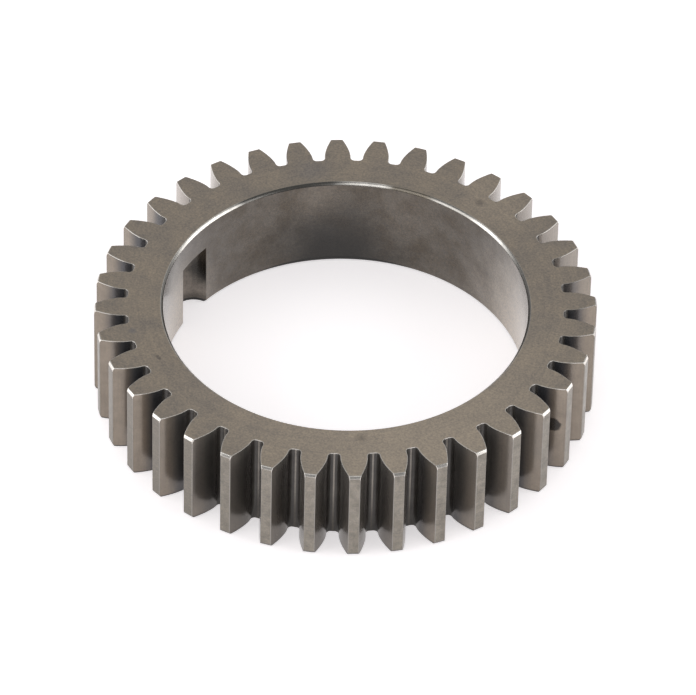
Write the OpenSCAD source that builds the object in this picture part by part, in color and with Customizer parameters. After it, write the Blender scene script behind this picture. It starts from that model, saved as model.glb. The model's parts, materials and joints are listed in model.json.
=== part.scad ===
// Spur ring gear: a plain steel ring with straight involute teeth outside, a smooth bore and
// a blind half-round seat for a dowel in the bore wall, open at the bottom face.
// The origin is on the axis at the bottom face, +Z runs up the axis, the dowel seat is on -X.

/* [Teeth] */
// Number of teeth
teeth = 36; // [34:1:48]
// Module: pitch diameter divided by the number of teeth
tooth_module = 2.54; // [2.42:0.01:2.9]
// Pressure angle of the flanks in degrees
pressure_angle = 20; // [17:0.5:23]
// Tooth thickness along the pitch circle
tooth_thickness = 4.1; // [3.7:0.02:4.3]
// Height of the teeth above the pitch circle
addendum = 2.54; // [2:0.02:2.7]
// Depth of the tooth spaces below the pitch circle
dedendum = 3.85; // [3:0.05:4.1]
// Radius of the fillets at the foot of each flank
root_fillet_r = 0.8; // [0.3:0.05:1]
// Width of the gear along its axis
face_width = 20.3; // [17:0.1:30]

/* [Edges] */
// How far the bevel at both ends of the tooth tips reaches in from the tip circle
tip_bevel_r = 0.3; // [0.1:0.05:0.6]
// How far that bevel reaches along the tooth
tip_bevel_z = 0.55; // [0.1:0.05:1]
// Chamfer at both ends of the bore
bore_chamfer = 0.5; // [0.1:0.05:1]

/* [Bore and dowel seat] */
// Diameter of the bore
bore_d = 70; // [60:0.5:72]
// Diameter of the dowel that the half-round seat takes
dowel_d = 8; // [4:0.1:9]
// Height of the dowel seat above the bottom face
dowel_seat_h = 14.3; // [6:0.1:16]

/* [Hidden] */
$fn = 180;

pitch_r = tooth_module * teeth / 2;
base_r = pitch_r * cos(pressure_angle);
tip_r = pitch_r + addendum;
root_r = pitch_r - dedendum;
bore_r = bore_d / 2;
tooth_pitch = 360 / teeth;
// A space between two teeth is centred on the dowel seat, so both lie on -X
first_tooth = 180 + tooth_pitch / 2;

// The outline runs on past the tip circle, and the turned blank trims it there
outline_margin = 0.3;
outline_r = tip_r + outline_margin;
flank_steps = 9;
fillet_steps = 5;
overcut = 1;

// Unwound angle of the involute at radius r, in degrees
function involute_angle(r) =
    let (t = sqrt(max(0, pow(r / base_r, 2) - 1)))
    t * 180 / PI - atan(t);

// Half of the tooth's angle at the base circle, and at radius r
base_half_angle = tooth_thickness / pitch_r * 90 / PI + involute_angle(pitch_r);
function half_angle(r) = base_half_angle - involute_angle(r);

// The fillet is limited by the floor of the tooth space
space_sine = sin(tooth_pitch / 2 - half_angle(root_r));
fillet_r = min(root_fillet_r, root_r * space_sine / (1 - space_sine));

// Fillet centre: it touches the root circle and the flank, which is an involute outside the
// base circle and a radial line inside it
fillet_centre_r = root_r + fillet_r;
centre_tangent = sqrt(max(0, pow(fillet_centre_r, 2) - pow(base_r, 2)));
touches_involute = centre_tangent > fillet_r;
touch_roll = touches_involute ? (centre_tangent - fillet_r) / base_r * 180 / PI : 0;
touch_turn = touch_roll - base_half_angle;
fillet_centre_turn = touch_turn
    - (touches_involute ? atan(centre_tangent / base_r) : asin(fillet_r / fillet_centre_r));
fillet_from = fillet_centre_turn + 180;
fillet_to = touch_turn + 90;
flank_start_r = touches_involute
    ? base_r * sqrt(1 + pow(touch_roll * PI / 180, 2))
    : base_r;

function polar(r, turn) = [r * cos(turn), r * sin(turn)];

// One side of a tooth from the root circle to the tip, as radius and angle turned to points.
// The side is the one at smaller angles, and the tooth is centred on angle 0.
fillet_points = [
    for (i = [0 : fillet_steps])
        let (a = fillet_from + (fillet_to - fillet_from) * i / fillet_steps)
        polar(fillet_centre_r, fillet_centre_turn) + polar(fillet_r, a)
];
flank_points = [
    for (i = [0 : flank_steps])
        let (r = flank_start_r + (outline_r - flank_start_r) * i / flank_steps)
        polar(r, -half_angle(r))
];
// A radial stretch lies between the fillet and the involute; where the fillet touches the
// involute itself, the first flank point is the fillet's last and is left out
tooth_side = concat(fillet_points, [for (i = [(touches_involute ? 1 : 0) : flank_steps]) flank_points[i]]);

function turned(p, turn) = [
    p.x * cos(turn) - p.y * sin(turn),
    p.x * sin(turn) + p.y * cos(turn)
];

// The whole outline: up one side of each tooth and down its mirror image
side_count = len(tooth_side);
outline = [
    for (k = [0 : teeth - 1])
        let (turn = first_tooth + k * tooth_pitch)
        for (i = [0 : 2 * side_count - 1])
            let (p = i < side_count
                ? tooth_side[i]
                : [tooth_side[2 * side_count - 1 - i].x, -tooth_side[2 * side_count - 1 - i].y])
            turned(p, turn)
];

// Ring as it is turned before its teeth are cut: the bore with its chamfers and the bevelled rim
module turned_blank() {
    rotate_extrude()
        polygon([
            [bore_r, bore_chamfer],
            [bore_r + bore_chamfer, 0],
            [tip_r - tip_bevel_r, 0],
            [tip_r, tip_bevel_z],
            [tip_r, face_width - tip_bevel_z],
            [tip_r - tip_bevel_r, face_width],
            [bore_r + bore_chamfer, face_width],
            [bore_r, face_width - bore_chamfer]
        ]);
}

// Straight prism with the tooth outline, longer than the blank at both ends
module tooth_prism() {
    translate([0, 0, -overcut])
        linear_extrude(face_width + 2 * overcut)
            polygon(outline);
}

// Half-round seat in the bore wall, centred on the wall and open at the bottom face
module dowel_seat() {
    translate([-bore_r, 0, -overcut])
        cylinder(h = dowel_seat_h + overcut, d = dowel_d);
}

module gear() {
    color("#857d72")
        difference() {
            intersection() {
                turned_blank();
                tooth_prism();
            }
            dowel_seat();
        }
}

gear();
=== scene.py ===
"""Spur ring gear: its finished surface, its steel finishes and a pale studio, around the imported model.

The file is laid out as an add-on with a panel in the 3D view, and is run as a script. All lengths are
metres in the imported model's frame: origin on the gear's axis at its bottom face, +Z up the axis.
"""
import json
import math

import bpy
import numpy as np
from mathutils import Matrix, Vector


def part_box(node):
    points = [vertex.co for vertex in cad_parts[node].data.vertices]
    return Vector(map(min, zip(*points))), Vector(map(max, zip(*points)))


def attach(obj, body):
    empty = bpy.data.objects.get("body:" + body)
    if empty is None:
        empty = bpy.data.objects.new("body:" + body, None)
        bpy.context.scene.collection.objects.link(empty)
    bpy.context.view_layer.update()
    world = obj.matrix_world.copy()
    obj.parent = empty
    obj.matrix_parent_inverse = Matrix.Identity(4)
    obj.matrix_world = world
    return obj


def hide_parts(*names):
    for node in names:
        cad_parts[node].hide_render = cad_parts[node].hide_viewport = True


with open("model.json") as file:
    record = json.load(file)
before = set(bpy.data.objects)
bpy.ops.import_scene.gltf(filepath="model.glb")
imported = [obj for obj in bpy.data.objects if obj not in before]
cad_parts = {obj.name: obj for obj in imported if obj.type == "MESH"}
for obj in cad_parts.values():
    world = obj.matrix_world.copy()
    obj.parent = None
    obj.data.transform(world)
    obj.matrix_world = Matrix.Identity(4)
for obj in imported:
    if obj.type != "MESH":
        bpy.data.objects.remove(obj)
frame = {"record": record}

bl_info = {
    "name": "Spur ring gear",
    "version": (1, 0, 0),
    "blender": (4, 5, 0),
    "location": "3D View > Sidebar > Gear",
    "description": "Adds a finished steel ring gear over its packed model, with a pale studio",
    "category": "Add Mesh",
}

MM = 0.001
GEAR = "ring_gear"
TURN = 2 * math.pi

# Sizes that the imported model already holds
LOW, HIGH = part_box("gear")
MOUNTS = {m["name"]: m for m in frame["record"]["mounts"]}
FACE_WIDTH = HIGH.z - LOW.z
BORE_R = MOUNTS["bore"]["dims"]["r_mm"] * MM
BORE_CHAMFER = (FACE_WIDTH - MOUNTS["bore"]["dims"]["length_mm"] * MM) / 2
PITCH_R = math.hypot(*MOUNTS["teeth"]["pos_m"][:2])
SEAT_R = MOUNTS["dowel_seat"]["dims"]["r_mm"] * MM
SEAT_H = MOUNTS["dowel_seat"]["dims"]["length_mm"] * MM


def length(name, about, default):
    """A property for a length in metres."""
    return bpy.props.FloatProperty(
        name=name, description=about, default=default, min=0, precision=5, unit="LENGTH", subtype="DISTANCE")


def angle(name, about, degrees):
    """A property for an angle, given in degrees."""
    return bpy.props.FloatProperty(name=name, description=about, default=math.radians(degrees), subtype="ANGLE")


def linear(hex_colour):
    """An sRGB hex colour as linear red, green and blue."""
    parts = np.array([int(hex_colour[i:i + 2], 16) for i in (1, 3, 5)]) / 255
    return tuple(float(c) for c in np.where(parts <= 0.04045, parts / 12.92, ((parts + 0.055) / 1.055) ** 2.4))


def colour(name, about, hex_colour):
    """A property for a colour, given as sRGB hex and kept linear."""
    return bpy.props.FloatVectorProperty(
        name=name, description=about, default=linear(hex_colour), size=3, min=0, max=1, subtype="COLOR")


def level(name, about, default):
    """A property for a plain number."""
    return bpy.props.FloatProperty(name=name, description=about, default=default, min=0, precision=3)


class GearSizes(bpy.types.PropertyGroup):
    """Sizes of the toothed ring."""
    teeth: bpy.props.IntProperty(name="Teeth", description="Number of teeth", default=36, min=34, max=48)
    pitch_r: length("Pitch radius", "Radius of the pitch circle", PITCH_R)
    pressure_angle: angle("Pressure angle", "Slope of the flanks at the pitch circle", 20)
    thickness: length("Tooth thickness", "Tooth thickness along the pitch circle", 4.1 * MM)
    addendum: length("Addendum", "Height of a tooth above the pitch circle", 2.54 * MM)
    dedendum: length("Dedendum", "Depth of a tooth space below the pitch circle", 3.85 * MM)
    root_fillet: length("Root fillet", "Radius at the foot of each flank", 0.8 * MM)
    face_width: length("Face width", "Width of the gear along its axis", FACE_WIDTH)
    bevel_r: length("Tip bevel, radial", "How far the bevel on the tooth ends reaches in", 0.3 * MM)
    bevel_z: length("Tip bevel, axial", "How far the bevel on the tooth ends reaches along", 0.55 * MM)
    edge_round: length("Edge round", "Radius that deburring leaves on the face edges", 0.1 * MM)
    corner_cut: length("Tip corner cut", "How far the round between flank and tip land reaches", 0.14 * MM)
    bore_r: length("Bore radius", "Radius of the bore", BORE_R)
    bore_chamfer: length("Bore chamfer", "Chamfer at both ends of the bore", BORE_CHAMFER)
    seat_r: length("Dowel seat radius", "Radius of the half-round dowel seat", SEAT_R)
    seat_h: length("Dowel seat height", "Height of the dowel seat above the bottom face", SEAT_H)


class SteelFinish(bpy.types.PropertyGroup):
    """Colours of the steel's finishes."""
    face: colour("Ground face", "Colour of the ground end faces", "#92887c")
    rim: colour("Turned rim", "Colour of the turned tip lands", "#908b83")
    flank: colour("Hobbed flank", "Colour of the hobbed flanks", "#9a8f83")
    root: colour("Hobbed root", "Colour of the floors of the tooth spaces", "#8a857f")
    wall: colour("Bored wall", "Colour of the bored wall", "#5e5851")
    seat: colour("Milled seat", "Colour of the milled dowel seat", "#807972")
    edge: colour("Deburred edge", "Colour of bright edges", "#eae6e0")
    # This colour serves one real spot of oil, and also painted shade at the roots, feet, fillets, seat and bore
    oil_and_shade: colour("Dried oil", "Colour of steel under dried oil", "#484542")


class StudioSetup(bpy.types.PropertyGroup):
    """Camera, floor and light."""
    camera_turn: angle("Camera azimuth", "Direction that the camera looks in, turned left of +Y", 31.97)
    camera_tilt: angle("Camera elevation", "How far the camera looks down", 42.565)
    camera_roll: angle("Camera roll", "Turn of the camera about its own axis, anticlockwise", 1.367)
    camera_distance: length("Camera distance", "From the camera to the point that it aims at", 1390.65 * MM)
    aim_x: bpy.props.FloatProperty(name="Aim X", default=7.107 * MM, unit="LENGTH", description="Aimed at, on X")
    aim_y: bpy.props.FloatProperty(name="Aim Y", default=-10.181 * MM, unit="LENGTH", description="Aimed at, on Y")
    lens: level("Lens", "Focal length in millimetres for a 36 mm wide sensor", 377.72)
    floor: colour("Floor", "Colour of the floor", "#f4f1f2")
    floor_glow: level("Floor glow", "How bright the floor shows to the camera and in reflections by itself", 0.61)
    sky: level("Surroundings", "Brightness of everything around", 0.28)
    left: level("Left panel", "Brightness of the panel on the left", 1.8)
    right: level("Right panel", "Brightness of the panel on the right", 1.8)
    back: level("Back panel", "Brightness of the panel above the far side", 0.54)
    key: level("Key panel", "Brightness of the panel above the camera's left shoulder", 1.0)
    top: level("Top panel", "Brightness of the panel overhead", 0.3)


# Soft panels: direction as seen from the gear, in degrees to the left of the camera's viewing direction and
# in degrees above the floor, then distance, width and height in metres
PANELS = {
    "left": (98, 22, 0.55, 0.56, 0.44),
    "right": (-98, 22, 0.55, 0.56, 0.44),
    "back": (0, 46, 1.0, 1.2, 0.9),
    "key": (150, 44, 0.9, 1.15, 0.4),
    "top": (0, 85, 0.9, 0.6, 0.6),
}


# Shape of the gear

# Points along each stretch from the middle of a tooth space to the middle of a tooth
ROOT_STEPS, FILLET_STEPS, FLANK_STEPS, CORNER_STEPS, LAND_STEPS = 5, 7, 9, 4, 3
# How many of the steps along the root keep the root's finish, the others getting painted shade
PLAIN_ROOT_STEPS = 2
# Points from the middle of the dowel seat to the start of its corner, and across the corner
SEAT_STEPS, SEAT_CORNER_STEPS = 44, 4
# Distance from a rounded edge to the extra row that keeps the flat beside it flat in the shading
HOLD = 0.05 * MM
# Height above the edge round that painted shade darkens at the foot of the teeth
FOOT = 0.2 * MM
# Line of painted shade along the foot of the bore's wall, where the floor's contact shadow falls: its greatest
# height, where that is, and how far the line runs to either side
PAINTED_SHADE_LINE, PAINTED_SHADE_LINE_AT, PAINTED_SHADE_LINE_TO = 0.6 * MM, math.radians(127), math.radians(25)
# Half the height of the bend where a bevel meets the tip land, and the share of the bevel it still has there
BEND, BEND_SHARE = 0.06 * MM, 0.03
# Small flat that breaks both edges of a bore chamfer, and the share of it that is cut off each way
EDGE_FLAT, EDGE_SHARE = 0.05 * MM, 0.7
# How far the round at the corners of the dowel seat reaches
SEAT_ROUND = 0.1 * MM
# Distance inside the root circle of the ring that the end faces are divided at
COLLAR = 1 * MM
# Distance from both ends of the bore to the first plain row of its wall, and rows on each side of the ceiling
WALL_MARGIN, WALL_ROWS = 2 * MM, 4
# Rows of the grid counted back from its last: the end of the bore's wall above the lower chamfer, the end of
# that chamfer's edge on the bottom face, and the first row of the flat bottom face
WALL_END, EDGE_END, BOTTOM_START = -8, -4, -3
# Edges that bend more than this are sharp in the shading
SHARP = math.radians(42)


def polar(radius, turn):
    """Points at a radius and an angle: (r cos t, r sin t)."""
    return np.stack(np.broadcast_arrays(radius * np.cos(turn), radius * np.sin(turn)), -1)


def turned_by(points, turn):
    """Points turned about the axis by one angle each."""
    c, s = np.cos(turn), np.sin(turn)
    x, y = points[..., 0], points[..., 1]
    return np.stack((x * c - y * s, x * s + y * c), -1)


def corner_curve(start, corner, end, steps):
    """A quadratic curve from start to end that bends towards the corner, without its start:
    (1-t)^2 start + 2t(1-t) corner + t^2 end."""
    t = (np.arange(1, steps + 1) / steps)[:, None]
    start, corner, end = (p[..., None, :] for p in (start, corner, end))
    return (1 - t) ** 2 * start + 2 * t * (1 - t) * corner + t ** 2 * end


def tooth_outline(g, tip_r):
    """Closed outlines of the toothed rim, one for each tip radius, as (rows, points, 2).

    A flank is the involute of the base circle: at radius r its angle from the tooth's middle is the half
    angle at the base circle less t - atan(t), where t^2 = (r / base radius)^2 - 1. Below the base circle it
    is radial, and a circular fillet joins it to the root circle. Each row starts at the middle of the tooth
    space on -X and runs anticlockwise."""
    rows = len(tip_r)
    pitch = TURN / g.teeth
    base_r = g.pitch_r * math.cos(g.pressure_angle)
    root_r = g.pitch_r - g.dedendum

    def unwound(r):
        t = np.sqrt(np.maximum(0, (r / base_r) ** 2 - 1))
        return t - np.arctan(t)

    base_half = g.thickness / (2 * g.pitch_r) + unwound(g.pitch_r)

    def half(r):
        return base_half - unwound(r)

    # The fillet touches the root circle and the flank
    space = math.sin(pitch / 2 - half(root_r))
    fillet = min(g.root_fillet, root_r * space / (1 - space))
    centre_r = root_r + fillet
    tangent = math.sqrt(max(0, centre_r ** 2 - base_r ** 2))
    on_involute = tangent > fillet
    touch = ((tangent - fillet) / base_r if on_involute else 0) - base_half
    centre_turn = touch - (math.atan(tangent / base_r) if on_involute else math.asin(fillet / centre_r))
    flank_from = base_r * math.hypot(1, touch + base_half) if on_involute else math.sqrt(centre_r ** 2 - fillet ** 2)

    root = polar(root_r, np.linspace(-pitch / 2, centre_turn, ROOT_STEPS + 1)[:-1])
    arc = polar(centre_r, centre_turn) + polar(
        fillet, np.linspace(centre_turn + math.pi, touch + math.pi / 2, FILLET_STEPS + 1)[:-1])
    foot = np.broadcast_to(np.concatenate((root, arc)), (rows, ROOT_STEPS + FILLET_STEPS, 2))

    tip = tip_r[:, None]
    flank_to = tip - g.corner_cut
    along = np.linspace(0, 1, FLANK_STEPS)
    flank_r = np.concatenate((flank_from + (flank_to - HOLD - flank_from) * along, flank_to), 1)
    flank = polar(flank_r, -half(flank_r))
    land_from = -half(tip_r) + g.corner_cut / tip_r
    corner = corner_curve(flank[:, -1], polar(tip_r, -half(tip_r)), polar(tip_r, land_from), CORNER_STEPS)
    hold = land_from + HOLD / tip_r
    land = polar(tip, hold[:, None] * np.linspace(1, 0, LAND_STEPS))

    side = np.concatenate((foot, flank, corner, land), 1)
    tooth = np.concatenate((side, side[:, -2:0:-1] * (1, -1)), 1)
    turn = math.pi + pitch * (np.arange(g.teeth) + 0.5)
    return turned_by(tooth[:, None], turn[None, :, None]).reshape(rows, -1, 2)


def drawn_in(outline, distance):
    """Outlines moved into the metal: each point goes against the outline's normal by its row's distance."""
    along = np.roll(outline, -1, 1) - np.roll(outline, 1, 1)
    normal = np.stack((along[..., 1], -along[..., 0]), -1)
    normal /= np.linalg.norm(normal, axis=-1, keepdims=True)
    return outline - normal * distance[:, None, None]


def rim_rows(g):
    """Outer rows from the bottom face up to the top face: (points, heights).

    Going up, the tip radius follows the bevel at both ends, and a quarter circle of the edge round turns
    each face into the flanks."""
    e, tip = g.edge_round, g.pitch_r + g.addendum
    bend = g.bevel_z + BEND * np.array([-1, 0, 1])
    up = np.concatenate(([0, 0, e * (1 - math.sqrt(0.5)), e, e + HOLD], bend, [bend[-1] + HOLD]))
    from_foot = up.copy()
    from_foot[4] = e + FOOT
    inset = np.zeros(len(up))
    inset[:3] = e + HOLD, e, e * (1 - math.sqrt(0.5))
    reach = np.stack((from_foot, up))
    tips = tip - g.bevel_r * np.clip(1 - reach / g.bevel_z, 0, 1)
    tips[:, 6] = tip - g.bevel_r * BEND_SHARE
    z = np.concatenate((from_foot, [g.face_width / 2], g.face_width - up[::-1]))
    tips = np.concatenate((tips[0], [tip], tips[1, ::-1]))
    inset = np.concatenate((inset, [0], inset[::-1]))
    return drawn_in(tooth_outline(g, tips), inset), z


def bore_rings(g, radius, count):
    """Rings of the bore at the given radii, as plain circles and with the dowel seat in them.

    Points are counted both ways from the middle of the seat on -X. With the seat, the first of them lie
    evenly on the seat's circle, then a small curve rounds its corner, and the others lie on the bore's
    circle at angles that both kinds of ring share."""
    k = np.arange(count)
    k = np.where(k > count // 2, k - count, k)
    side, away = np.sign(k), np.abs(k)
    last = SEAT_STEPS + SEAT_CORNER_STEPS

    def corner_turn(r):
        """Where the ring meets the seat's circle, as an angle about the seat's centre and about the axis."""
        phi = np.arccos((r ** 2 - g.bore_r ** 2 - g.seat_r ** 2) / (2 * g.bore_r * g.seat_r))
        return phi, np.arctan2(g.seat_r * np.sin(phi), g.bore_r + g.seat_r * np.cos(phi))

    shared = corner_turn(np.array([g.bore_r]))[1][0] + SEAT_ROUND / g.bore_r
    outside = shared + (math.pi - shared) * (away - last) / (count / 2 - last)
    theta = np.where(away > last, outside, shared * away / last)
    plain = polar(radius[:, None], theta)

    phi, theta_corner = corner_turn(radius)
    cut = phi - SEAT_ROUND / g.seat_r
    centre = np.array([g.bore_r, 0])
    seat = centre + polar(g.seat_r, cut[:, None] * np.minimum(away, SEAT_STEPS) / SEAT_STEPS)
    curve = corner_curve(centre + polar(g.seat_r, cut), polar(radius, theta_corner), polar(radius, shared),
                         SEAT_CORNER_STEPS)
    step = np.clip(away - SEAT_STEPS - 1, 0, SEAT_CORNER_STEPS - 1)
    seated = np.where((away <= SEAT_STEPS)[None, :, None], seat, curve[:, step])
    seated = np.where((away > last)[None, :, None], plain, seated)
    # From a seat on +X, counted up on both sides, to one on -X that runs anticlockwise
    flip = np.stack((-np.ones(count), -np.where(side < 0, -1, 1)), -1)
    return plain * flip, seated * flip, away < last


def bore_profile(g):
    """Radius and height down the bore, from the top face: a chamfer, the wall, and the same chamfer below.
    Each edge is a short flat between two points of the profile."""
    c, n, cut = g.bore_chamfer, EDGE_FLAT, EDGE_FLAT * EDGE_SHARE
    reach = np.array([c + n + HOLD, c + n, c - cut, cut, 0, 0])
    depth = np.array([0, 0, cut, c - cut, c + n, c + n + HOLD])
    wall = np.linspace(g.face_width - WALL_MARGIN, g.seat_h + HOLD, WALL_ROWS)
    seat = np.linspace(g.seat_h - HOLD, WALL_MARGIN, WALL_ROWS)
    flush = np.zeros(WALL_ROWS + 1)
    above = (np.concatenate((reach, flush)), np.concatenate((g.face_width - depth, wall, [g.seat_h])))
    below = (np.concatenate((flush, reach[::-1])), np.concatenate(([g.seat_h], seat, depth[::-1])))
    return above, below


def stretch(rows, start, middle, end):
    """Kinds of a stretch of rows: those it starts and ends with, and one kind for all between."""
    return start + [middle] * (rows - len(start) - len(end)) + end


def gear_grid(g):
    """The whole surface as one grid that closes both ways: rows of points around the gear, going up the rim,
    in over the top face, down the bore and out under the bottom face. Returns points (rows, around, 3), the
    part of the gear that each row begins, which points lie in the seat, where its ceiling row is, and which
    points of the bore's foot get the line of painted shade."""
    rim, rim_z = rim_rows(g)
    count = rim.shape[1]
    (above_r, above_z), (below_r, below_z) = bore_profile(g)
    plain, _, in_seat = bore_rings(g, g.bore_r + above_r, count)
    _, seated, _ = bore_rings(g, g.bore_r + below_r, count)

    # A ring inside the tooth spaces keeps the faces' cells from folding over
    collar = polar(g.pitch_r - g.dedendum - COLLAR, math.pi + TURN * np.arange(count) / count)
    top = np.stack((collar, (collar + plain[0]) / 2))
    bottom = np.stack(((seated[-1] + collar) / 2, collar))
    rows = np.concatenate((rim, top, plain, seated, bottom))
    z = np.concatenate((rim_z, [g.face_width] * 2, above_z, below_z, [0, 0]))
    points = np.concatenate((rows, np.broadcast_to(z[:, None, None], rows.shape[:2] + (1,))), -1)
    # The line of painted shade is highest at one place and thins out to both sides as a cosine
    turn = np.arctan2(points[WALL_END, :, 1], points[WALL_END, :, 0])
    end = math.cos(PAINTED_SHADE_LINE_TO)
    oil_and_shade = np.maximum(0, (np.cos(turn - PAINTED_SHADE_LINE_AT) - end) / (1 - end))
    points[WALL_END, :, 2] += PAINTED_SHADE_LINE * oil_and_shade

    kinds = (stretch(len(rim_z), ["face"] + ["foot"] * 3 + ["foot bevel"] * 2, "rim",
                     ["bevel"] * 3 + ["round"] * 2 + ["face"] * 2)
             + ["face"] * len(top)
             + stretch(len(above_z), ["face"] + ["chamfer"] * 3, "wall", ["ceiling"])
             + stretch(len(below_z), [], "wall", ["oil line"] * 2 + ["foot"] * 2 + ["face"] * 2)
             + ["face"] * len(bottom))
    return points, kinds, in_seat, len(rim_z) + len(top) + len(above_z), in_seat | (oil_and_shade > 0)


# The gear's finishes, in the order of its material slots; one of them is painted shade in the fillets and along the
# feet
FINISHES = ("face", "rim", "flank", "root", "painted_shade", "wall", "seat", "edge")


def finish_of(g, kinds, count, in_seat, oil_and_shade):
    """Which finish each cell of the grid has, as an index into FINISHES, by its row and its place around. The
    seat's finish covers the bore's wall below the ceiling where two neighbours lie in the seat, and the painted
    shade covers the foot of the wall where the line of painted shade runs."""
    side = (["root"] * PLAIN_ROOT_STEPS + ["painted_shade"] * (ROOT_STEPS - PLAIN_ROOT_STEPS + FILLET_STEPS) + ["flank"] * FLANK_STEPS
            + ["rim"] + ["edge"] * (CORNER_STEPS - 2) + ["rim"] * (LAND_STEPS + 1))
    ring = np.array([FINISHES.index(f) for f in (side + side[::-1])] * g.teeth)
    plain = {"round": "edge", "foot": "painted_shade", "face": "face", "chamfer": "edge", "wall": "wall",
             "ceiling": "seat", "oil line": "wall"}
    on_rim = {"rim": "rim", "bevel": "edge", "foot bevel": "painted_shade"}
    cells = np.stack([
        np.where(ring == FINISHES.index("rim"), FINISHES.index(on_rim[kind]), ring) if kind in on_rim
        else np.full(count, FINISHES.index(plain[kind])) for kind in kinds])
    seat_cell = in_seat & np.roll(in_seat, -1)
    cells[np.ix_([i for i, k in enumerate(kinds) if k == "wall" and i > kinds.index("ceiling")],
                 np.flatnonzero(seat_cell))] = FINISHES.index("seat")
    cells[np.ix_([i for i, k in enumerate(kinds) if k == "oil line"],
                 np.flatnonzero(oil_and_shade))] = FINISHES.index("painted_shade")
    return cells


def grid_faces(index, cells):
    """Faces of a grid that closes both ways, from its points' numbers: one quad per cell, one triangle where
    two of its corners are the same point, and none where it has no width."""
    across = np.roll(index, -1, 1)
    ahead = np.roll(index, -1, 0)
    quads = np.stack((index, across, np.roll(across, -1, 0), ahead), -1).reshape(-1, 4)
    cells = cells.reshape(-1)
    left, right = quads[:, 0] == quads[:, 3], quads[:, 1] == quads[:, 2]
    whole, near, far = ~left & ~right, left & ~right, ~left & right
    tris = np.concatenate((quads[near][:, [0, 1, 2]], quads[far][:, [0, 1, 3]]))
    finish = np.concatenate((cells[whole], cells[near], cells[far]))
    return quads[whole], tris, finish


def new_mesh(name, points, quads, tris, finish):
    """A mesh object from arrays of points, four- and three-cornered faces and their material numbers."""
    mesh = bpy.data.meshes.new(name)
    mesh.from_pydata(points.tolist(), [], quads.tolist() + tris.tolist(), shade_flat=False)
    mesh.polygons.foreach_set("material_index", finish.astype(np.int32))
    mesh.set_sharp_from_angle(angle=SHARP)
    mesh.validate()
    mesh.update()
    piece = bpy.data.objects.new(name, mesh)
    bpy.context.scene.collection.objects.link(piece)
    return piece


def build_gear(g):
    """The gear as one closed surface. Two rows share points with the row before them: the ceiling row
    everywhere but in the dowel seat, and the row that ends the bore's lower edge along the seat."""
    points, kinds, in_seat, ceiling, oil_and_shade = gear_grid(g)
    rows, count = points.shape[:2]
    index = np.arange(rows * count).reshape(rows, count)
    index[ceiling] = np.where(in_seat, index[ceiling], index[ceiling - 1])
    along = np.roll(in_seat, SEAT_CORNER_STEPS - 1) & np.roll(in_seat, 1 - SEAT_CORNER_STEPS)
    index[BOTTOM_START] = np.where(along, index[EDGE_END], index[BOTTOM_START])
    used, packed = np.unique(index, return_inverse=True)
    packed = packed.reshape(rows, count)
    quads, tris, finish = grid_faces(packed, finish_of(g, kinds, count, in_seat, oil_and_shade))
    return new_mesh(GEAR, points.reshape(-1, 3)[used], quads, tris, finish)


# Steel finishes

# Noise values between which clouds and grain go from one of their colours to the other, and those between
# which the clouds vary the roughness
CLOUD_SPAN, GRAIN_SPAN, ROUGH_SPAN = (0.38, 0.64), (0.32, 0.68), (0.3, 0.7)
# Tints at the two ends of the grain, dark and cool or pale and warm
COOL_GRAIN, WARM_GRAIN = (0.74, 0.76, 0.8, 1), (1.26, 1.23, 1.16, 1)
# Least and greatest roughness, as shares of a finish's own
SMOOTHEST, ROUGHEST = 0.9, 1.15
# Roughness of the film of oil
FILM_ROUGHNESS = 0.25
# How uneven the rim of a round patch is, as a share of its radius, and how many times the unevenness turns
# over one radius
UNEVEN, UNEVEN_TURNS = 0.7, 1.4


def add(tree, kind, inputs=(), out=0, **settings):
    """Adds a node with its settings and links, and returns one of its outputs. An input is given by name or
    number, as a value or as the output to link to it."""
    node = tree.nodes.new(kind)
    for name, value in settings.items():
        setattr(node, name, value)
    for key, value in dict(inputs).items():
        if isinstance(value, bpy.types.NodeSocket):
            tree.links.new(value, node.inputs[key])
        else:
            node.inputs[key].default_value = value
    return node.outputs[out] if node.outputs else None


def rgba(shade, factor=1.0):
    """A colour with its alpha, made lighter or darker by a factor."""
    return tuple(min(1.0, c * factor) for c in shade) + (1.0,)


def around(turn, radius_mm, height_mm):
    """A place in mm, from an angle about the axis in degrees, a radius and a height."""
    return (radius_mm * math.cos(math.radians(turn)), radius_mm * math.sin(math.radians(turn)), height_mm)


def out_from_axis(tree, place):
    """Distance from the axis."""
    flat = add(tree, "ShaderNodeMapping", {"Vector": place, "Scale": (1, 1, 0)})
    return add(tree, "ShaderNodeVectorMath", {0: flat}, "Value", operation="LENGTH")


def above_bottom(tree, place):
    """Height above the bottom face."""
    return add(tree, "ShaderNodeSeparateXYZ", {0: place}, "Z")


def turned(tree, place):
    """Coordinates of turned, bored and ground lines, which run around the axis: radius and height, and a
    little of the way around."""
    line = add(tree, "ShaderNodeCombineXYZ", {"X": out_from_axis(tree, place)})
    drift = add(tree, "ShaderNodeMapping", {"Vector": place, "Scale": (0.03, 0.03, 1)})
    return add(tree, "ShaderNodeVectorMath", {0: line, 1: drift}, operation="ADD")


def hobbed(tree, place):
    """Coordinates of hobbed streaks, which run along the teeth."""
    return add(tree, "ShaderNodeMapping", {"Vector": place, "Scale": (1, 1, 0.05)})


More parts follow.
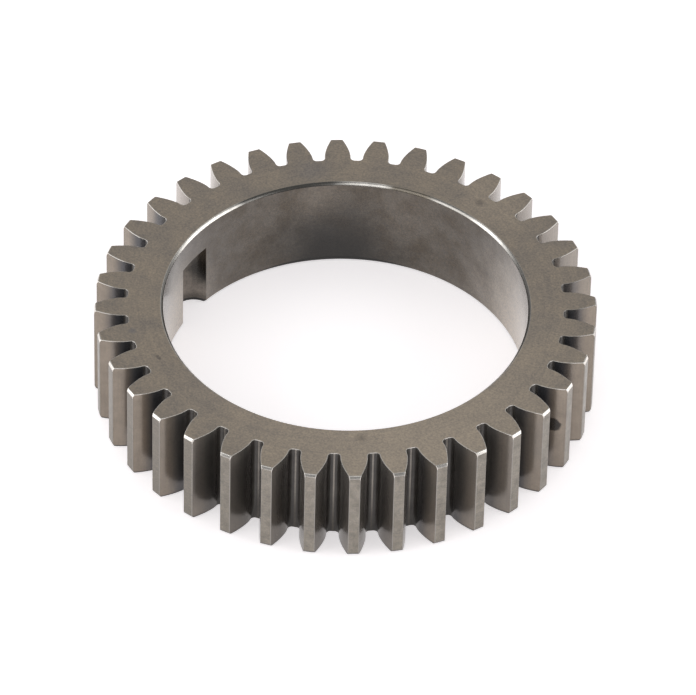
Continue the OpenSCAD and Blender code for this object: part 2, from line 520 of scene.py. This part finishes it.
def spot(centre_mm, radius_mm, amount, whole):
    """A round patch: amount near its centre, out to that share of its radius, then fading out with an uneven
    rim."""
    def share(tree, place):
        uneven = add(tree, "ShaderNodeTexNoise", {
            "Vector": place, "Scale": UNEVEN_TURNS / (radius_mm * MM), "Detail": 4.0, "Roughness": 0.6}, "Fac")
        apart = add(tree, "ShaderNodeVectorMath", {0: place, 1: tuple(c * MM for c in centre_mm)}, "Value",
                    operation="DISTANCE")
        reach = add(tree, "ShaderNodeMath", {0: uneven, 1: UNEVEN * radius_mm * MM, 2: apart},
                    operation="MULTIPLY_ADD")
        return add(tree, "ShaderNodeMapRange", {
            "Value": reach, "From Min": radius_mm * (whole + UNEVEN / 2) * MM,
            "From Max": radius_mm * (1 + UNEVEN / 2) * MM, "To Min": amount, "To Max": 0.0},
            interpolation_type="SMOOTHSTEP")
    return share


def band(measure, from_mm, to_mm, amount):
    """A patch that depends on one distance only: none where the distance is the first value or more, and
    amount where it is the second or less."""
    def share(tree, place):
        return add(tree, "ShaderNodeMapRange", {
            "Value": measure(tree, place), "From Min": to_mm * MM, "From Max": from_mm * MM, "To Min": amount,
            "To Max": 0.0}, interpolation_type="SMOOTHSTEP")
    return share


def steel(name, base, rough, clouds, grain, lines, patches=(), film=0.0, metal=1.0):
    """A steel finish. Clouds, a fine grain and machining lines vary its colour, the clouds its roughness, and
    grain and lines its height.

    clouds: size in mm, and the colour they turn to. grain: size in mm, colour contrast, and height in
    micrometres. lines: their coordinates, then as for grain. patches: for each, how much of it there is at a
    place, and its colour. film: share of the surface that a clear film of oil covers. metal: share that is
    bare, the rest being under matt grime."""
    material = bpy.data.materials.new(name)
    material.use_nodes = True
    tree = material.node_tree
    tree.nodes.clear()
    place = add(tree, "ShaderNodeTexCoord", out="Object")
    cloudy = add(tree, "ShaderNodeTexNoise", {
        "Vector": place, "Scale": 1 / (clouds[0] * MM), "Detail": 6.0, "Roughness": 0.65}, "Fac")
    share = add(tree, "ShaderNodeMapRange", {
        "Value": cloudy, "From Min": CLOUD_SPAN[0], "From Max": CLOUD_SPAN[1]})
    # Inputs 6 and 7 of a Mix node and its output 2 are the colours
    shade = add(tree, "ShaderNodeMix", {0: share, 6: rgba(base), 7: rgba(clouds[1])}, 2, data_type="RGBA")
    for amount, tint in patches:
        shade = add(tree, "ShaderNodeMix", {0: amount(tree, place), 6: shade, 7: rgba(tint)}, 2, data_type="RGBA")
    heights = []
    for coordinates, (size_mm, contrast, high_um) in ((place, grain), (lines[0](tree, place), lines[1:])):
        fine = add(tree, "ShaderNodeTexNoise", {
            "Vector": coordinates, "Scale": 1 / (size_mm * MM), "Detail": 3.0, "Roughness": 0.7}, "Fac")
        tint = add(tree, "ShaderNodeMapRange", {
            "Value": fine, "From Min": GRAIN_SPAN[0], "From Max": GRAIN_SPAN[1]})
        speck = add(tree, "ShaderNodeMix", {0: tint, 6: COOL_GRAIN, 7: WARM_GRAIN}, 2, data_type="RGBA",
                    clamp_factor=True)
        shade = add(tree, "ShaderNodeMix", {0: contrast, 6: shade, 7: speck}, 2, data_type="RGBA",
                    blend_type="MULTIPLY")
        heights.append(add(tree, "ShaderNodeMath", {0: fine, 1: high_um * 1e-6}, operation="MULTIPLY"))
    roughness = add(tree, "ShaderNodeMapRange", {
        "Value": cloudy, "From Min": ROUGH_SPAN[0], "From Max": ROUGH_SPAN[1],
        "To Min": rough * SMOOTHEST, "To Max": rough * ROUGHEST})
    height = add(tree, "ShaderNodeMath", {0: heights[0], 1: heights[1]}, operation="ADD")
    bump = add(tree, "ShaderNodeBump", {"Height": height, "Distance": 1.0, "Strength": 1.0})
    shader = add(tree, "ShaderNodeBsdfPrincipled", {
        "Base Color": shade, "Metallic": metal, "Roughness": roughness, "Normal": bump,
        "Coat Weight": film, "Coat Roughness": FILM_ROUGHNESS})
    add(tree, "ShaderNodeOutputMaterial", {"Surface": shader})
    return material


def steel_finishes(f):
    """The gear's materials, in the order of FINISHES. All are the same hardened steel."""
    def tinted(shade, red, green=None, blue=None):
        """A colour with its channels scaled, all alike if only one scale is given."""
        return tuple(c * k for c, k in zip(shade, (red, green or red, blue or red)))

    top = FACE_WIDTH / MM
    dark, blue = tinted(f.face, 0.42, 0.44, 0.5), tinted(f.face, 0.72, 0.78, 0.92)
    # Ground steel: even satin grey, matt and slightly mottled, with a few small stains; painted light front right
    # and back right
    face = steel("ground_steel_face", f.face, 0.42, (6, tinted(f.face, 0.87, 0.9, 0.96)), (0.4, 0.8, 4),
                 (turned, 0.5, 0.2, 2), [
                     # painted light: the face is lighter towards the front right and at the back right
                     (spot(around(-40, 42, top), 55, 0.7, 0.1), tinted(f.face, 1.4)),
                     (spot(around(79, 42, top), 12, 0.7, 0.2), tinted(f.face, 1.18)),
                     (spot(around(133, 39.2, top), 4.5, 0.6, 0.1), blue),
                     (spot(around(-135.4, 41.5, top), 1.1, 0.9, 0.2), blue),
                     (spot(around(-123.6, 39.03, top), 0.55, 0.6, 0.3), dark),
                     (spot(around(-122.6, 38.93, top), 0.55, 0.6, 0.3), dark),
                     (spot(around(81.8, 39.6, top), 1.4, 0.5, 0.2), dark),
                     (spot(around(-52.6, 37.5, top), 1.6, 0.4, 0.2), dark)])
    # Turned steel: brighter, with feed lines around the tips, and painted shade on the front left
    rim = steel("turned_steel_rim", f.rim, 0.3, (2, tinted(f.rim, 0.76)), (0.3, 0.7, 3), (turned, 0.4, 0.3, 2),
                # painted shade on the tip lands at the front left, where they reflect less light
                [(spot(around(-120, 47, 10), 42, 0.9, 0.4), tinted(f.rim, 0.75))])
    # Hobbed steel: satin, faintly streaked along the teeth, with painted shade towards the root and in front,
    # painted light at the back, and one round spot of oil
    flank = steel("hobbed_steel_flank", f.flank, 0.21, (4, tinted(f.flank, 0.82)), (0.4, 0.25, 0.25),
                  (hobbed, 0.4, 0.2, 0.4), [
                      # painted shade towards the root, deep in the tooth spaces
                      (band(out_from_axis, 47, 44, 0.93), tinted(f.oil_and_shade, 1.3, 1.48, 1.83)),
                      # painted light on the flanks at the back left and back right, which face the panels
                      (spot(around(152, 47, 10), 25, 0.9, 0.6), tinted(f.flank, 1.45, 1.55, 1.7)),
                      (spot(around(80, 47, 10), 36, 0.9, 0.6), tinted(f.flank, 1.13, 1.2, 1.3)),
                      # painted shade on the right front, in front and low in front, where the flanks reflect little
                      # light
                      (spot(around(-22, 47, 12), 18, 0.7, 0.4), tinted(f.flank, 0.74, 0.8, 0.88)),
                      (spot(around(-68, 47, 15), 33, 0.9, 0.5), tinted(f.flank, 0.65, 0.71, 0.79)),
                      (spot(around(-86, 46, 9), 11, 0.4, 0.5), tinted(f.oil_and_shade, 1.2)),
                      (spot(around(-62, 46, -7), 27, 0.9, 0.4), tinted(f.flank, 0.5, 0.52, 0.55)),
                      (spot(around(2.4, 45.8, 11), 1.8, 0.95, 0.75), tinted(f.oil_and_shade, 0.5))], metal=0.6)
    # Hobbed steel in the floor of a tooth space: duller
    root = steel("hobbed_steel_root", f.root, 0.3, (3, tinted(f.root, 0.85)), (0.35, 0.5, 0.5),
                 (hobbed, 0.4, 0.2, 0.4), [(band(above_bottom, 14, 2, 0.9), tinted(f.root, 0.4))], metal=0.9)
    # Painted shade: steel coloured nearly black in the fillets and along the feet of teeth and bore, where shade
    # falls, darkest at the bore
    painted_shade = steel("painted_shade_steel_corner", tinted(f.oil_and_shade, 1.5), 0.35, (3, tinted(f.oil_and_shade, 1.1)), (0.35, 0.5, 0.5),
                  (hobbed, 0.4, 0.2, 0.4), [(band(out_from_axis, 39.5, 38, 0.95), tinted(f.oil_and_shade, 0.25))], metal=0.2)
    # Bored steel: smoother, under a film of oil, clouded brown and grey, with painted light and painted shade low
    # down
    wall = steel("bored_steel_wall", f.wall, 0.24, (4, tinted(f.wall, 0.66, 0.59, 0.5)), (0.4, 1.0, 1),
                 (turned, 0.6, 0.15, 0.5), [
                     (spot(around(131, 35, 16), 9, 0.6, 0.0), tinted(f.wall, 1.7)),
                     (spot(around(105, 35, 15), 11, 0.25, 0.0), tinted(f.wall, 1.5)),
                     # painted light low on the left and right, where the wall reflects the bright floor
                     (spot(around(-166, 35, 3), 18, 0.85, 0.15), tinted(f.wall, 4)),
                     (spot(around(48, 35, 4), 22, 0.85, 0.0), tinted(f.wall, 4)),
                     # painted shade low at the back, where the wall reflects the floor's contact shadow
                     (spot(around(125, 35, 1), 19, 0.95, 0.2), tinted(f.oil_and_shade, 0.3))], film=0.8)
    # Milled steel: the dowel seat, duller, with painted shade along one edge and at its foot
    seat = steel("milled_steel_seat", f.seat, 0.25, (3, tinted(f.seat, 0.7)), (0.35, 0.6, 3),
                 (hobbed, 0.4, 0.3, 2), [
                     (band(above_bottom, 2.6, 0.8, 0.6), f.oil_and_shade),
                     (spot((-36.2, 5.4, 8.2), 6.1, 0.85, 0.35), tinted(f.oil_and_shade, 0.65, 0.7, 0.75))])
    # Deburred edges: worn bright, with painted shade on some stretches and on the upright corners of the teeth
    edge = steel("deburred_steel_edge", f.edge, 0.25, (1.5, tinted(f.edge, 0.8)), (0.3, 0.2, 1),
                 (turned, 0.4, 0.1, 1), [
                     # painted shade on stretches of the bore's chamfer, where it reflects dark surroundings
                     (spot(around(142, 35, top), 13.5, 0.97, 0.68), tinted(f.edge, 0.16)),
                     (spot(around(89, 35, top), 9.5, 0.85, 0.45), tinted(f.edge, 0.32)),
                     (spot(around(102, 35, top), 5.6, 0.92, 0.55), tinted(f.edge, 0.22, 0.2, 0.17)),
                     (spot(around(38, 35, top), 19, 0.9, 0.6), tinted(f.edge, 0.35)),
                     (spot(around(-150, 35, top), 14, 0.9, 0.6), tinted(f.edge, 0.6)),
                     # painted shade that dims the edge lines in front and on the upright corners of the teeth
                     (spot(around(-62, 46, 10), 34, 0.35, 0.5), tinted(f.edge, 0.6)),
                     (band(above_bottom, 19.6, 19.2, 0.95), tinted(f.edge, 0.36))])
    return face, rim, flank, root, painted_shade, wall, seat, edge


# Studio

# Half the side of the floor, and how far it lies under the gear
FLOOR_REACH, FLOOR_DROP = 3.0, 0.02 * MM


def heading(s, turn=0.0):
    """Level unit vector in the camera's viewing direction, turned left by an angle."""
    a = s.camera_turn + turn
    return np.array([-math.sin(a), math.cos(a), 0])


def build_camera(s):
    """The camera stands back from the aimed point along its viewing direction, with its own up turned by the
    roll."""
    level_way, up = heading(s), np.array([0, 0, 1.0])
    ahead = level_way * math.cos(s.camera_tilt) - up * math.sin(s.camera_tilt)
    right = np.cross(ahead, up)
    right /= np.linalg.norm(right)
    over = np.cross(right, ahead)
    c, n = math.cos(s.camera_roll), math.sin(s.camera_roll)
    right, over = c * right + n * over, c * over - n * right
    place = np.array([s.aim_x, s.aim_y, FACE_WIDTH]) - ahead * s.camera_distance
    matrix = np.eye(4)
    matrix[:3, :3] = np.stack((right, over, -ahead), 1)
    matrix[:3, 3] = place
    data = bpy.data.cameras.new("studio_camera")
    data.sensor_fit, data.sensor_width, data.lens = "HORIZONTAL", 36, s.lens
    data.clip_start, data.clip_end = 0.05, 50
    camera = bpy.data.objects.new("studio_camera", data)
    camera.matrix_world = Matrix(matrix.tolist())
    bpy.context.scene.collection.objects.link(camera)
    bpy.context.scene.camera = camera


def seen_rays(tree):
    """1 for camera, glossy and transmission rays, and 0 for the others."""
    camera, glossy, through = (add(tree, "ShaderNodeLightPath", out="Is %s Ray" % kind)
                               for kind in ("Camera", "Glossy", "Transmission"))
    either = add(tree, "ShaderNodeMath", {0: camera, 1: glossy}, operation="MAXIMUM")
    return add(tree, "ShaderNodeMath", {0: either, 1: through}, operation="MAXIMUM")


def build_floor(s):
    """A level square of floor just under the gear. It shows white by its own glow and still takes shadows."""
    ends = (-FLOOR_REACH, FLOOR_REACH)
    mesh = bpy.data.meshes.new("floor")
    mesh.from_pydata([(x, y, -FLOOR_DROP) for y in ends for x in ends], [], [[0, 1, 3, 2]])
    floor = bpy.data.objects.new("floor", mesh)
    bpy.context.scene.collection.objects.link(floor)
    material = bpy.data.materials.new("studio_paper_floor")
    material.use_nodes = True
    tree = material.node_tree
    tree.nodes.clear()
    matt = add(tree, "ShaderNodeBsdfDiffuse", {"Color": rgba(s.floor)})
    strength = add(tree, "ShaderNodeMath", {0: seen_rays(tree), 1: s.floor_glow}, operation="MULTIPLY")
    glow = add(tree, "ShaderNodeEmission", {"Color": rgba(s.floor), "Strength": strength})
    add(tree, "ShaderNodeOutputMaterial", {"Surface": add(tree, "ShaderNodeAddShader", {0: matt, 1: glow})})
    mesh.materials.append(material)


def build_panel(s, name, turn, rise, distance, width, tall):
    """A soft rectangular panel that faces the gear. Its power comes from its brightness: power is pi times
    area times brightness."""
    turn, rise = math.radians(turn), math.radians(rise)
    aim = -heading(s, turn) * math.cos(rise) - np.array([0, 0, math.sin(rise)])
    right = np.cross(aim, (0, 0, 1.0))
    right /= np.linalg.norm(right)
    matrix = np.eye(4)
    matrix[:3, :3] = np.stack((right, np.cross(right, aim), -aim), 1)
    matrix[:3, 3] = -aim * distance
    lamp = bpy.data.lights.new(name + "_panel", "AREA")
    lamp.shape, lamp.size, lamp.size_y = "RECTANGLE", width, tall
    lamp.energy = math.pi * width * tall * getattr(s, name)
    panel = bpy.data.objects.new(name + "_panel", lamp)
    panel.matrix_world = Matrix(matrix.tolist())
    panel.visible_camera = False
    bpy.context.scene.collection.objects.link(panel)


def build_world(s):
    """Plain surroundings of one brightness."""
    world = bpy.data.worlds.new("studio")
    world.use_nodes = True
    tree = world.node_tree
    tree.nodes.clear()
    air = add(tree, "ShaderNodeBackground", {"Color": (1, 1, 1, 1), "Strength": s.sky})
    add(tree, "ShaderNodeOutputWorld", {"Surface": air})
    bpy.context.scene.world = world
    bpy.context.scene.view_settings.view_transform = "Standard"


# Add-on


class MESH_OT_ring_gear_add(bpy.types.Operator):
    """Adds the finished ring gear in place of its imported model"""
    bl_idname = "mesh.ring_gear_add"
    bl_label = "Ring Gear"

    def execute(self, context):
        gear = build_gear(context.scene.gear_sizes)
        for material in steel_finishes(context.scene.steel_finish):
            gear.data.materials.append(material)
        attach(gear, "root")
        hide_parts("gear")
        return {"FINISHED"}


class SCENE_OT_gear_studio_add(bpy.types.Operator):
    """Adds the camera, the floor, the lamps and the surroundings"""
    bl_idname = "scene.gear_studio_add"
    bl_label = "Pale Studio"

    def execute(self, context):
        s = context.scene.gear_studio
        build_camera(s)
        build_floor(s)
        build_world(s)
        for name, place in PANELS.items():
            build_panel(s, name, *place)
        return {"FINISHED"}


class VIEW3D_PT_ring_gear(bpy.types.Panel):
    """Lists the gear's operators and their values"""
    bl_label = "Ring Gear"
    bl_idname = "VIEW3D_PT_ring_gear"
    bl_space_type = "VIEW_3D"
    bl_region_type = "UI"
    bl_category = "Gear"

    def draw(self, context):
        scene = context.scene
        for operator, group in ((MESH_OT_ring_gear_add, (scene.gear_sizes, scene.steel_finish)),
                                (SCENE_OT_gear_studio_add, (scene.gear_studio,))):
            box = self.layout.box()
            box.operator(operator.bl_idname)
            for values in group:
                for name in values.__annotations__:
                    box.prop(values, name)


CLASSES = (GearSizes, SteelFinish, StudioSetup, MESH_OT_ring_gear_add, SCENE_OT_gear_studio_add,
           VIEW3D_PT_ring_gear)
GROUPS = {"gear_sizes": GearSizes, "steel_finish": SteelFinish, "gear_studio": StudioSetup}


def register():
    for cls in CLASSES:
        bpy.utils.register_class(cls)
    for name, group in GROUPS.items():
        setattr(bpy.types.Scene, name, bpy.props.PointerProperty(type=group))


def unregister():
    for name in GROUPS:
        delattr(bpy.types.Scene, name)
    for cls in reversed(CLASSES):
        bpy.utils.unregister_class(cls)


def main():
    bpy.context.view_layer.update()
    register()
    bpy.ops.mesh.ring_gear_add()
    bpy.ops.scene.gear_studio_add()


if __name__ == "__main__":
    main()
